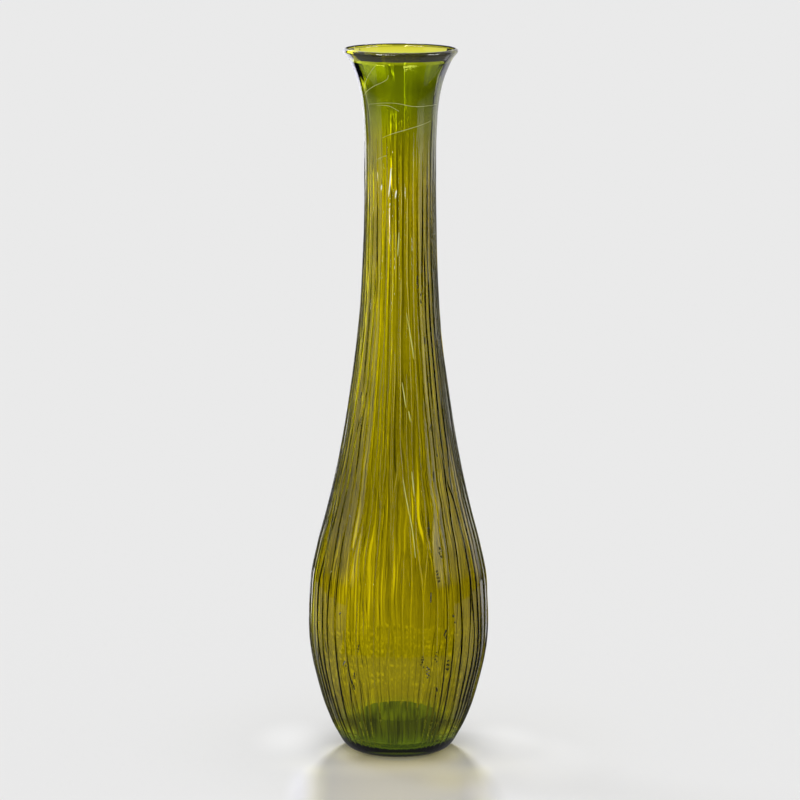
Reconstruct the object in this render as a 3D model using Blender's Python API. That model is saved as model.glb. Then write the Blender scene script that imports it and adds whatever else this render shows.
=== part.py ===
"""Ribbed floor vase, mould-blown in one piece of olive green glass.

Lengths are in metres and +Z is up. The origin is on the axis, at the plane that the foot stands on.
The vase is one gather of glass, so it is one object: its outside carries the ribs, which run up from
the heel and join in pairs towards the neck, and its foot is pushed up inside as a punt.
"""

import math

import bmesh
import bpy

# Heights, stacked from the foot to the lip
HEEL_RISE = 0.010
HEEL_TO_BELLY = 0.123
BELLY_TO_NECK = 0.442
NECK_TO_LIP = 0.125

# Radii of the outline, over the rib crests
FOOT_RADIUS = 0.044
HEEL_RADIUS = 0.0575
BELLY_RADIUS = 0.0898
NECK_RADIUS = 0.0357
LIP_RADIUS = 0.0560

# Glass thicknesses, and the rounded bead that the fire leaves on the lip
WALL = 0.0036
BASE_THICKNESS = 0.0080
LIP_BEAD_RADIUS = 0.0026

# Punt, the pushed-up middle of the foot, and the flat ring that is left to stand on
FOOT_RING_WIDTH = 0.0060
PUNT_RISE = 0.0280

# Ribs. Every second rib starts at a fork, and the ribs fade out below the plain mouth
RIB_COUNT = 64
RIB_DEPTH = 0.0015
FORK_LENGTH = 0.080
FORKS_FROM_NECK = 0.040
FORKS_SPREAD = 0.330
PLAIN_MOUTH = 0.052
FADE_LENGTH = 0.090
HEEL_FADE = 0.016
SWAY_LENGTH = 0.190

# Radius shares run from the lower named radius to the upper one, height shares up the same stretch
HEEL_TO_BELLY_SHARES = ((0.11, 0.23), (0.21, 0.40), (0.31, 0.54), (0.51, 0.75), (0.70, 0.91), (0.85, 0.98))
BELLY_TO_NECK_SHARES = (
    (0.085, 0.03), (0.167, 0.155), (0.25, 0.33), (0.33, 0.48), (0.415, 0.615),
    (0.50, 0.725), (0.605, 0.84), (0.715, 0.93), (0.85, 0.98),
)
NECK_TO_LIP_SHARES = (
    (0.22, 0.0), (0.42, 0.045), (0.52, 0.08), (0.61, 0.145), (0.70, 0.245), (0.80, 0.42), (0.90, 0.68),
)
HEEL_CORNER_SHARE = 0.58
SWAY_SHARE = 0.34
RIDGE_SHARE = 0.50
FAINTEST_RIB_SHARE = 0.12
GOLDEN_SHARE = 0.618034

# The punt is a dome whose edge runs out flat, the more so the higher this power is
PUNT_POWER = 1.5

# Rows of the mesh in each stretch of the outside, of the inside and of the underside
HEEL_ROW_COUNT = 3
BELLY_ROW_COUNT = 6
SHOULDER_ROW_COUNT = 13
RIBBED_MOUTH_ROW_COUNT = 3
PLAIN_MOUTH_ROW_COUNT = 5
LIP_ROW_COUNT = 4
INSIDE_NECK_ROW_COUNT = 2
INSIDE_SHOULDER_ROW_COUNT = 9
INSIDE_BELLY_ROW_COUNT = 4
FLOOR_CORNER_ROW_COUNT = 3
FLOOR_ROW_COUNT = 4
PUNT_ROW_COUNT = 5

# Columns of the mesh: a rib's near foot, its crest and its far foot
RIB_COLUMNS = 3
CREST_COLUMN = 1

BELLY_HEIGHT = HEEL_RISE + HEEL_TO_BELLY
NECK_HEIGHT = BELLY_HEIGHT + BELLY_TO_NECK
HEIGHT = NECK_HEIGHT + NECK_TO_LIP
BEAD_HEIGHT = HEIGHT - LIP_BEAD_RADIUS
RIB_TOP = HEIGHT - PLAIN_MOUTH
PUNT_RADIUS = FOOT_RADIUS - FOOT_RING_WIDTH
FLOOR_TOP = PUNT_RISE + BASE_THICKNESS
GLASS_COLOUR = (0.36, 0.37, 0.02, 1.0)
SMOOTH_ANGLE = math.radians(30)


def mix(a, b, share):
    """The value that lies a share of the way from a to b."""
    return a + (b - a) * share


def ease(value):
    """0 below 0, 1 above 1, and a smooth rise between them."""
    value = min(max(value, 0.0), 1.0)
    return value * value * (3.0 - 2.0 * value)


def scatter(index, turn):
    """A share from 0 to 1 that jumps about from one index to the next, the same on every run."""
    return ((index + 1) * GOLDEN_SHARE * turn) % 1.0


def stretch_points(low, high, shares):
    """Height and radius of the points between two named ones, from their shares."""
    return [(mix(low[0], high[0], h), mix(low[1], high[1], r)) for h, r in shares]


def outline_points():
    """The outline over the rib crests, as (height, radius) from the heel up to the lip's bead."""
    heel = (HEEL_RISE, HEEL_RADIUS)
    belly = (BELLY_HEIGHT, BELLY_RADIUS)
    neck = (NECK_HEIGHT, NECK_RADIUS)
    lip = (BEAD_HEIGHT, LIP_RADIUS - LIP_BEAD_RADIUS / 2)
    return [
        heel, *stretch_points(heel, belly, HEEL_TO_BELLY_SHARES),
        belly, *stretch_points(belly, neck, BELLY_TO_NECK_SHARES),
        neck, *stretch_points(neck, lip, NECK_TO_LIP_SHARES), lip,
    ]


OUTLINE = outline_points()


def steepness(index):
    """The outline's slope at one of its points: none where it turns, the mean of both sides elsewhere."""
    if index == 0:
        index = 1
    if index == len(OUTLINE) - 1:
        index -= 1
    (h0, r0), (h1, r1), (h2, r2) = OUTLINE[index - 1:index + 2]
    below, above = (r1 - r0) / (h1 - h0), (r2 - r1) / (h2 - h1)
    return 0.0 if below * above <= 0 else 2 * below * above / (below + above)


def crest_radius(height):
    """The outside radius over the rib crests, on one smooth curve through the outline's points."""
    height = min(max(height, OUTLINE[0][0]), OUTLINE[-1][0])
    index = max(i for i, point in enumerate(OUTLINE[:-1]) if point[0] <= height)
    (h0, r0), (h1, r1) = OUTLINE[index], OUTLINE[index + 1]
    span = h1 - h0
    t = (height - h0) / span
    return (
        (2 * t**3 - 3 * t**2 + 1) * r0 + (t**3 - 2 * t**2 + t) * span * steepness(index)
        + (3 * t**2 - 2 * t**3) * r1 + (t**3 - t**2) * span * steepness(index + 1)
    )


def rib_depth(height):
    """How deep the valleys between the ribs are: none at the heel's foot and none in the plain mouth."""
    return RIB_DEPTH * ease((height - HEEL_RISE) / HEEL_FADE) * ease((RIB_TOP - height) / FADE_LENGTH)


def rib_strength(index, height):
    """1 where a rib is whole and 0 where it is gone. Odd ribs are gone above their own fork."""
    if index % 2 == 0:
        return 1.0
    fork = NECK_HEIGHT - FORKS_FROM_NECK - FORKS_SPREAD * scatter(index // 2, 1)
    return 1.0 - ease((height - fork) / FORK_LENGTH)


def rib_width(index, height):
    """A rib's share of the way round, before all of them are brought to one full turn."""
    sway = math.sin(2 * math.pi * (height / SWAY_LENGTH + scatter(index, 2)))
    return mix(FAINTEST_RIB_SHARE, 1.0, rib_strength(index, height)) * (1 + SWAY_SHARE * sway)


def rib_lines(height):
    """Angle and radius round the vase at one height, as each rib's near foot, crest and far foot."""
    widths = [rib_width(index, height) for index in range(RIB_COUNT)]
    turn = 2 * math.pi / sum(widths)
    crest, depth = crest_radius(height), rib_depth(height)
    line, start = [], 0.0
    for index, width in enumerate(widths):
        middle, reach = start + width * turn / 2, width * turn * RIDGE_SHARE / 2
        line.append((middle - reach, crest - depth))
        line.append((middle, crest - depth * (1 - rib_strength(index, height))))
        line.append((middle + reach, crest - depth))
        start += width * turn
    drift = sum(angle for angle, _ in line) / len(line) - math.pi
    return [(angle - drift, radius) for angle, radius in line]


def inside_radius(height):
    """The inside radius, one wall in from the valleys."""
    return crest_radius(height) - rib_depth(height) - WALL


def punt_height(radius):
    """The underside of the foot: flat on its ring, and a rounded rise inside it."""
    share = min(radius / PUNT_RADIUS, 1.0)
    return PUNT_RISE * (1 - share**2) ** PUNT_POWER


def bezier(start, middle, end, share):
    """A point on the curve from start to end that leaves and arrives along lines to middle."""
    return tuple(mix(mix(a, b, share), mix(b, c, share), share) for a, b, c in zip(start, middle, end))


def heel_points():
    """The rounded heel as (radius, height), down from the lowest ribs to the foot's ring."""
    start, end = (HEEL_RADIUS, HEEL_RISE), (FOOT_RADIUS, 0.0)
    corner = (mix(FOOT_RADIUS, HEEL_RADIUS, HEEL_CORNER_SHARE), 0.0)
    return [bezier(start, corner, end, row / HEEL_ROW_COUNT) for row in range(1, HEEL_ROW_COUNT + 1)]


def row_heights(*stretches):
    """Heights of the rows through stretches of (start, end, rows), with the first start and the last end."""
    heights = [mix(start, end, row / rows) for start, end, rows in stretches for row in range(rows)]
    return heights + [stretches[-1][1]]


def ribbed_heights():
    """Heights of the rows that carry the ribs, from the heel to the foot of the plain mouth."""
    return row_heights(
        (HEEL_RISE, BELLY_HEIGHT, BELLY_ROW_COUNT),
        (BELLY_HEIGHT, NECK_HEIGHT, SHOULDER_ROW_COUNT),
        (NECK_HEIGHT, RIB_TOP, RIBBED_MOUTH_ROW_COUNT),
    )


def mouth_points():
    """The plain mouth and the lip's bead as (radius, height), up the outside and over to the inside."""
    heights = row_heights((RIB_TOP, BEAD_HEIGHT, PLAIN_MOUTH_ROW_COUNT))[1:-1]
    points = [(crest_radius(height), height) for height in heights]
    centre = LIP_RADIUS - LIP_BEAD_RADIUS
    for row in range(LIP_ROW_COUNT + 1):
        turn = math.pi * row / LIP_ROW_COUNT
        reach, rise = LIP_BEAD_RADIUS * math.cos(turn), LIP_BEAD_RADIUS * math.sin(turn)
        points.append((centre + reach, BEAD_HEIGHT + rise))
    return points


def inside_points():
    """The inside as (radius, height), down the wall, round the floor's corner and up to the punt's top."""
    heights = row_heights(
        (BEAD_HEIGHT, RIB_TOP, PLAIN_MOUTH_ROW_COUNT),
        (RIB_TOP, NECK_HEIGHT, INSIDE_NECK_ROW_COUNT),
        (NECK_HEIGHT, BELLY_HEIGHT, INSIDE_SHOULDER_ROW_COUNT),
        (BELLY_HEIGHT, FLOOR_TOP, INSIDE_BELLY_ROW_COUNT),
    )
    points = [(inside_radius(height), height) for height in heights[1:]]
    wall_foot = points[-1]
    corner = (inside_radius(HEEL_RISE + HEEL_FADE), BASE_THICKNESS)
    rim = (PUNT_RADIUS, BASE_THICKNESS)
    for row in range(1, FLOOR_CORNER_ROW_COUNT + 1):
        points.append(bezier(wall_foot, corner, rim, row / FLOOR_CORNER_ROW_COUNT))
    for row in range(1, FLOOR_ROW_COUNT):
        radius = mix(PUNT_RADIUS, 0.0, row / FLOOR_ROW_COUNT)
        points.append((radius, punt_height(radius) + BASE_THICKNESS))
    return points


def underside_points():
    """The underside as (radius, height), from the inner edge of the foot's ring in to the punt's top."""
    radii = [mix(PUNT_RADIUS, 0.0, row / PUNT_ROW_COUNT) for row in range(PUNT_ROW_COUNT)]
    return [(radius, punt_height(radius)) for radius in radii]


def add_ring(mesh, row):
    """A ring of vertices from (angle, radius, height)."""
    return [mesh.verts.new((r * math.cos(a), r * math.sin(a), h)) for a, r, h in row]


def add_round(mesh, point, angles):
    """A ring that is round, at one (radius, height)."""
    return add_ring(mesh, [(angle, *point) for angle in angles])


def skin(mesh, wide, narrow):
    """Faces between two rings, of which the second has as many vertices, a half or a third."""
    ratio = len(wide) // len(narrow)
    for i, vertex in enumerate(narrow):
        following = narrow[(i + 1) % len(narrow)]
        run = [wide[(ratio * i + step) % len(wide)] for step in range(ratio + 1)]
        if ratio == 1:
            mesh.faces.new((run[0], run[1], following, vertex))
            continue
        turn_over = (ratio + 1) // 2
        for step in range(ratio):
            mesh.faces.new((run[step], run[step + 1], vertex if step < turn_over else following))
        mesh.faces.new((run[turn_over], following, vertex))


def fan(mesh, ring, height):
    """Closes a ring with a point on the axis."""
    tip = mesh.verts.new((0.0, 0.0, height))
    for i, vertex in enumerate(ring):
        mesh.faces.new((vertex, ring[(i + 1) % len(ring)], tip))


def vase_mesh():
    """The whole vase as one closed skin: outside, lip, inside and underside.

    The plain mouth and the foot have a column of vertices for each rib's crest, and the inside and the
    punt have one for every second rib.
    """
    mesh = bmesh.new()
    ribbed = [[(angle, radius, height) for angle, radius in rib_lines(height)] for height in ribbed_heights()]
    mouth_angles = [angle for angle, _, _ in ribbed[-1]][CREST_COLUMN::RIB_COLUMNS]
    upward = [add_ring(mesh, row) for row in ribbed]
    upward += [add_round(mesh, point, mouth_angles) for point in mouth_points()]
    upward += [add_round(mesh, point, mouth_angles[::2]) for point in inside_points()]
    foot_angles = [angle for angle, _, _ in ribbed[0]][CREST_COLUMN::RIB_COLUMNS]
    downward = [upward[0]] + [add_round(mesh, point, foot_angles) for point in heel_points()]
    downward += [add_round(mesh, point, foot_angles[::2]) for point in underside_points()]
    for rings, tip_height in ((upward, FLOOR_TOP), (downward, PUNT_RISE)):
        for first, second in zip(rings, rings[1:]):
            skin(mesh, first, second)
        fan(mesh, rings[-1], tip_height)
    bmesh.ops.recalc_face_normals(mesh, faces=mesh.faces)
    return mesh


def glass():
    """Olive green bottle glass."""
    material = bpy.data.materials.new("olive_glass")
    material.use_nodes = True
    shader = material.node_tree.nodes["Principled BSDF"]
    shader.inputs["Base Color"].default_value = GLASS_COLOUR
    shader.inputs["Metallic"].default_value = 0.0
    shader.inputs["Roughness"].default_value = 0.04
    shader.inputs["IOR"].default_value = 1.52
    shader.inputs["Transmission Weight"].default_value = 1.0
    return material


def main():
    for old in list(bpy.data.objects):
        bpy.data.objects.remove(old)
    mesh = vase_mesh()
    data = bpy.data.meshes.new("ribbed_vase")
    mesh.to_mesh(data)
    mesh.free()
    data.shade_smooth()
    data.set_sharp_from_angle(angle=SMOOTH_ANGLE)
    data.materials.append(glass())
    vase = bpy.data.objects.new("ribbed_vase", data)
    bpy.context.scene.collection.objects.link(vase)


main()
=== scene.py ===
"""Ribbed floor vase of olive green glass, on a pale floor in soft studio light.

Lengths are in metres and +Z is up. The vase is one piece of blown glass, so one mesh stands for the
frame's node: a turned wall whose columns of points follow the ribs, with the ribs raised on it. Its
threads, dashes, bolder ribs and dark flecks are small meshes that ride with it. The dashes are painted
highlights, and the threads and bolder ribs glow a little as a painted highlight.
"""

import math

import bmesh
import bpy
import numpy as np
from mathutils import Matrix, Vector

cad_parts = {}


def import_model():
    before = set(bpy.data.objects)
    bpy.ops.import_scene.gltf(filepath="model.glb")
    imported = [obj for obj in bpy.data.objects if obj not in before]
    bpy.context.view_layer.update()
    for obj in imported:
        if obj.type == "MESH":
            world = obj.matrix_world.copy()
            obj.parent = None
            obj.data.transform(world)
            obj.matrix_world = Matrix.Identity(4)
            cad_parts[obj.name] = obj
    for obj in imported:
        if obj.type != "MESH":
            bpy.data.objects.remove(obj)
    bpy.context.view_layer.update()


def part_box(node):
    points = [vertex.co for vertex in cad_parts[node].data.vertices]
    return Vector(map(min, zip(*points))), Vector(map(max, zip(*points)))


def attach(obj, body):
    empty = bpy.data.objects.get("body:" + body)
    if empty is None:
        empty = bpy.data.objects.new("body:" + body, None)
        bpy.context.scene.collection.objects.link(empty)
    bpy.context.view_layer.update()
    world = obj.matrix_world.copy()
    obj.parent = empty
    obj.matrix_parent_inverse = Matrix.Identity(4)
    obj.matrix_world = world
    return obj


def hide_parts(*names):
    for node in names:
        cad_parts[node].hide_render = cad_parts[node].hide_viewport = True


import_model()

# The vase's own sizes: its height comes from the frame
VASE_LOW, VASE_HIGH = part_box("ribbed_vase")
HEIGHT = VASE_HIGH.z - VASE_LOW.z
HEEL_RISE = 0.010
BELLY_HEIGHT = 0.133
NECK_HEIGHT = 0.575
FOOT_RADIUS = 0.044
HEEL_RADIUS = 0.0575
BELLY_RADIUS = 0.0898
NECK_RADIUS = 0.0352
LIP_RADIUS = 0.0560
LIP_BEAD_RADIUS = 0.0026
LIP_TURN = 0.0046
LIP_START = -0.20 * math.pi
BASE_THICKNESS = 0.0060
PUNT_THICKNESS = 0.0050
PLATEAU_RADIUS = 0.0430
PLATEAU_POWER = 2.4
FOOT_RING_WIDTH = 0.0060
PUNT_RISE = 0.0262
PLAIN_MOUTH = 0.052
BEAD_HEIGHT = HEIGHT - LIP_BEAD_RADIUS
RIB_TOP = HEIGHT - PLAIN_MOUTH
PUNT_RADIUS = FOOT_RADIUS - FOOT_RING_WIDTH
FLOOR_TOP = PUNT_RISE + PUNT_THICKNESS

# Height shares run up the stretch between two named heights, radius shares between their radii
HEEL_TO_BELLY_SHARES = (
    (0.11, 0.23), (0.21, 0.40), (0.31, 0.54), (0.51, 0.75), (0.70, 0.91), (0.85, 0.98),
)
BELLY_TO_NECK_SHARES = (
    (0.085, 0.03), (0.167, 0.155), (0.25, 0.33), (0.33, 0.48), (0.415, 0.615),
    (0.50, 0.725), (0.605, 0.84), (0.715, 0.93), (0.85, 0.98),
)
NECK_TO_LIP_SHARES = (
    (0.22, 0.0), (0.42, 0.045), (0.52, 0.08), (0.61, 0.145), (0.70, 0.245), (0.80, 0.42), (0.90, 0.68),
)
HEEL_CORNER_SHARE = 0.58
FLOOR_CORNER_REACH = 0.004

# The wall's thickness by height: thin in the belly, thick in the neck and mouth, thin again below the lip
WALL_HEIGHTS = (0.000, 0.060, BELLY_HEIGHT, 0.300, NECK_HEIGHT, 0.640, 0.672, 0.6880, 0.6955)
WALLS = (0.0045, 0.0040, 0.0036, 0.0036, 0.0040, 0.0046, 0.0050, 0.0017, 0.0015)
SLOPE_REACH = 0.001
# A fine step round the outside of the mouth
MOUTH_RING_HEIGHT = 0.6905
MOUTH_RING_STEP = 0.0002
MOUTH_RING_WIDTH = 0.0010

# Ribs: thin ridges that wander, meet and part
RIB_COUNT = 72
RIB_HEIGHT = 0.0011
RIB_HALF_WIDTH = 0.00125
FORK_LENGTH = 0.050
FORK_POWER = 1.25
FORKS_FROM_NECK = 0.030
FORKS_SPREAD = 0.400
JOINTS_SPREAD = 0.20
LOW_JOINTS_FROM_HEEL = 0.03
CROSSING_LENGTH = 0.14
FADE_LENGTH = 0.150
HEEL_FADE = 0.014
CLOSED_GAP_SHARE = 0.05
LEAST_ROOM_SHARE = 0.02
GOLDEN_SHARE = 0.618034
# Waves as (share, length, turn of the scatter): how the ribs sway, and how strongly they stand out
SWAY_WAVES = ((0.08, 0.213, 2), (0.06, 0.087, 5))
STRENGTH_WAVES = ((0.5, 0.290, 7), (0.5, 0.131, 11))
STRENGTH_SWING = 1.3
WEAKEST_RIB_SHARE = 0.30
# Places of a rib's columns of points in half widths, and the least gap between two whole ribs
COLUMN_PLACES = (0.62, 1.0, 1.3)
WHOLE_GAP = 2.8

INSIDE_RIPPLE = 0.00050
OUTSIDE_RIPPLE = 0.00012
RIPPLE_SIZE = 0.018
RIPPLE_STRETCH = 4.0
RIPPLE_SEED = 7

# Threads of glass that trail over the neck and mouth, each through points of (degrees round, height)
THREAD_RADIUS = 0.00016
THREAD_TIP_SHARE = 0.50
THREAD_SIDES = 6
THREAD_STEPS = 10
THREADS = (
    ((-56, 0.6472), (-25, 0.6503), (-4, 0.6502), (11, 0.6476), (23, 0.6464), (40, 0.6466), (68, 0.6467)),
    ((-37, 0.6473), (-20, 0.6480), (-12, 0.6461), (-2, 0.6422)),
    ((-27, 0.6884), (-52, 0.6707), (-61, 0.6630), (-58, 0.6562), (-56, 0.6462), (-54, 0.6314)),
    ((-15, 0.6776), (-17, 0.6724), (-37, 0.6666), (-54, 0.6606), (-64, 0.6558)),
    ((-30, 0.6155), (-15, 0.6200), (8, 0.6241), (26, 0.6272), (54, 0.6314)),
    ((58, 0.6853), (56, 0.6784), (57, 0.6653), (57, 0.6562)),
    ((-43, 0.5924), (-34, 0.5963), (-22, 0.5989)),
)
# Painted highlights: short raised pale dashes on the neck that glow like glints, in the same measures
DASH_RADIUS = 0.00055
GLINT_DASHES = (
    ((-15, 0.5865), (-16, 0.5730), (-19, 0.5590)),
    ((-6, 0.5650), (-8, 0.5575)),
    ((-31, 0.5700), (-32, 0.5650)),
)
# Bold ribs down the front of the neck and shoulder, in the same measures: raised, with a pale glow that is a
# painted highlight
BOLD_RIB_RADIUS = 0.00052
BOLD_RIB_RAISED_SHARE = 0.45
BOLD_RIBS = (
    ((-1.6, 0.5241), (-3.6, 0.5013)),
    ((9.5, 0.4456), (13.9, 0.4286), (17.6, 0.4104), (18.6, 0.4006)),
    ((3.3, 0.3781), (5.8, 0.3640), (7.4, 0.3540)),
    ((10.5, 0.3500), (12.5, 0.3400)),
    ((3.6, 0.2854), (5.6, 0.2703), (8.2, 0.2535), (10.8, 0.2346), (11.7, 0.2106)),
    ((11.9, 0.2920), (13.1, 0.2685)),
)
# Painted highlight: the bold ribs' pale colour and their light of their own
BOLD_RIB_HIGHLIGHT_COLOUR = (0.80, 0.78, 0.22, 1)
BOLD_RIB_HIGHLIGHT_GLOW = 0.22
# Small dark flecks in the glass's skin, in loose upright rows: degrees round, middle height and count
FLECK_ROWS = (
    (-38, 0.098, 7), (-33, 0.081, 6), (-30, 0.092, 3), (15.6, 0.106, 6), (19.4, 0.096, 9), (27, 0.081, 9),
    (34, 0.100, 8), (25, 0.112, 4), (31, 0.132, 6), (38, 0.150, 5), (22, 0.172, 6), (27, 0.190, 8),
    (31, 0.214, 7), (-41, 0.146, 5), (24, 0.236, 6), (-26, 0.120, 3), (28, 0.474, 9), (33, 0.458, 5),
    (36, 0.420, 8), (42, 0.400, 6), (40, 0.380, 5), (36, 0.330, 7), (40, 0.310, 6), (34, 0.286, 5),
    (-52, 0.360, 6), (-46, 0.338, 4), (-44, 0.252, 4),
)
FLECK_ROW_LENGTH = 0.013
FLECK_ROW_WIDTH = math.radians(2.2)
FLECK_LENGTHS = (0.0007, 0.0017)
FLECK_WIDTH = 0.0019
FLECK_DEPTH = 0.0005
FLECK_COLOUR = (0.030, 0.032, 0.020, 1)
# The threads are real; their small light of their own is a painted highlight
THREAD_COLOUR = (0.80, 0.84, 0.40, 1)
THREAD_HIGHLIGHT_GLOW = 0.22
# Painted highlight: the dashes' pale colour and their light of their own
GLINT_DASH_COLOUR = (0.95, 0.95, 0.92, 1)
GLINT_DASH_GLOW = 0.55
RAISED_ROUGHNESS = 0.30

# Glass
GLASS_IOR = 1.52
GLASS_ROUGHNESS = 0.02
SHADOW_TINT = (0.95, 0.88, 0.54, 1)
ABSORPTION_COLOUR = (0.829, 0.829, 0.143, 1)
ABSORPTION_DENSITY = 700.0
# The surface's hue by share of the height
HUE_STOPS = (
    (0.0, (0.82, 0.98, 0.50)), (0.022, (0.84, 0.96, 0.45)), (0.050, (0.98, 0.905, 0.35)),
    (0.22, (1.0, 0.885, 0.35)), (0.60, (0.97, 0.88, 0.35)), (0.80, (0.96, 0.86, 0.35)),
    (0.87, (0.90, 0.87, 0.35)), (0.93, (0.79, 0.88, 0.35)), (0.980, (0.79, 0.90, 0.35)),
    (0.990, (1.0, 0.96, 0.27)),
)

# Rows of points
HEEL_ROWS = 8
RIBBED_ROWS = 120
MOUTH_ROWS = 40
LIP_ROWS = 18
INSIDE_RIM_FOOT = 0.684
INSIDE_RIM_ROWS = 18
INSIDE_ROWS = 90
FLOOR_CORNER_ROWS = 8
FLOOR_ROWS = 14
RIB_COLUMNS = 7
# Above and below the ribs only every third column of points goes on
PLAIN_COLUMN_STEP = 3

# Camera: where the photograph was taken from, as the outline and the rim's ellipse give it
CAMERA_SIDE = -0.0018
CAMERA_DISTANCE = 3.640
CAMERA_HEIGHT = 1.0185
CAMERA_DROP = math.radians(10.37)
CAMERA_ROLL = math.radians(-0.21)
CAMERA_LENS = 168.5
SENSOR_WIDTH = 36.0

# Light
BACKDROP_COLOUR = (0.822, 0.822, 0.822, 1)
AMBIENT = 0.20
OVERHEAD_SHARE = 0.31
OVERHEAD_ANGLE = math.radians(34)
BACK_SUN_ELEVATION = math.radians(37)
BACK_SUN_SIDE = math.radians(0)
BACK_SUN_ANGLE = math.radians(8)
SIDE_SUN_SHARE = 0.07
SIDE_SUN_ELEVATION = math.radians(60)
SIDE_SUN_SIDE = math.radians(50)
SIDE_SUN_ANGLE = math.radians(12)
SIDE_SUN_STRENGTH = SIDE_SUN_SHARE * math.pi / math.sin(SIDE_SUN_ELEVATION)
BACK_SUN_SHARE = 1 - AMBIENT - OVERHEAD_SHARE - SIDE_SUN_SHARE
BACK_SUN_STRENGTH = BACK_SUN_SHARE * math.pi / math.sin(BACK_SUN_ELEVATION)
FLOOR_REACH = 60.0
# Painted pools of light on the floor, standing in for light that the glass gathers there: the middle, the
# reach each way and the strength
PAINTED_FLOOR_LIGHT = (
    ((0.0, -0.070, 0.0), (0.150, 0.065, 1.0), (0.165, 0.158, 0.120)),
    ((-0.056, -0.026, 0.0), (0.030, 0.045, 1.0), (0.220, 0.210, 0.150)),
    ((0.058, -0.026, 0.0), (0.030, 0.045, 1.0), (0.180, 0.172, 0.120)),
    ((0.052, -0.125, 0.0), (0.045, 0.065, 1.0), (0.090, 0.075, 0.0)),
    ((-0.104, 0.020, 0.0), (0.052, 0.090, 1.0), (0.115, 0.115, 0.115)),
    ((0.100, 0.020, 0.0), (0.055, 0.080, 1.0), (0.100, 0.100, 0.100)),
    ((-0.090, -0.160, 0.0), (0.024, 0.110, 1.0), (0.100, 0.100, 0.150)),
    ((0.078, -0.155, 0.0), (0.022, 0.070, 1.0), (0.050, 0.050, 0.100)),
    ((0.145, -0.060, 0.0), (0.065, 0.120, 1.0), (0.065, 0.065, 0.065)),
)
# Painted light in a rim along both sides of the shadow, standing in for light the glass gathers there: how
# far out it lies, where in front it starts and is whole, where it fades and ends, and how much of it falls on
# the right
RIM_OUT = 0.080
RIM_HALF_WIDTH = 0.018
RIM_START, RIM_WHOLE = -0.060, -0.100
RIM_FADE, RIM_END = -0.24, -0.50
PAINTED_RIM_LIGHT_COLOUR = (0.110, 0.100, 0.020)
RIM_RIGHT_SHARE = 0.9
RIM_TURN = 0.010
FLOOR_DROP = 0.0003
LIGHT_BOUNCES = 28
GLOSSY_BOUNCES = 12

# Cloths and panels round the set. Only the glass sees them, as a reflection, through its walls or both.
# Behind the camera it is dark; pale boxes stand at both sides, and the pale backdrop behind.
MIRRORED = ("glossy",)
THROUGH = ("transmission",)
WALL_PROFILE = ((1.2, 0.001), (1.4, 2.2))
BOX_PROFILE = ((1.2, 0.16), (1.4, 2.2))
LAMP_PROFILE = ((1.15, 1.0), (1.15, 1.40))
FLOOR_CLOTH_PROFILE = ((0.30, 0.004), (1.2, 0.004))
CARD_PROFILE = ((0.14, 0.0006), (0.48, 0.0006), (0.48, 0.85))
LOW_CARD_PROFILE = ((0.14, 0.0006), (0.48, 0.0006), (0.48, 0.34))
HIGH_CARD_PROFILE = ((0.48, 0.34), (0.48, 0.85))
MOUND_SIDE_PROFILE = ((0.036, 0.0355), (0.0378, 0.0340), (0.0390, 0.0265), (0.0400, 0.0120))
PUNT_EDGE_PROFILE = ((0.022, 0.0162), (0.030, 0.0088), (0.036, 0.0014))
BLACK_CARD = (0.010, 0.011, 0.016)
PANEL_STEP = math.radians(5)
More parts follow.
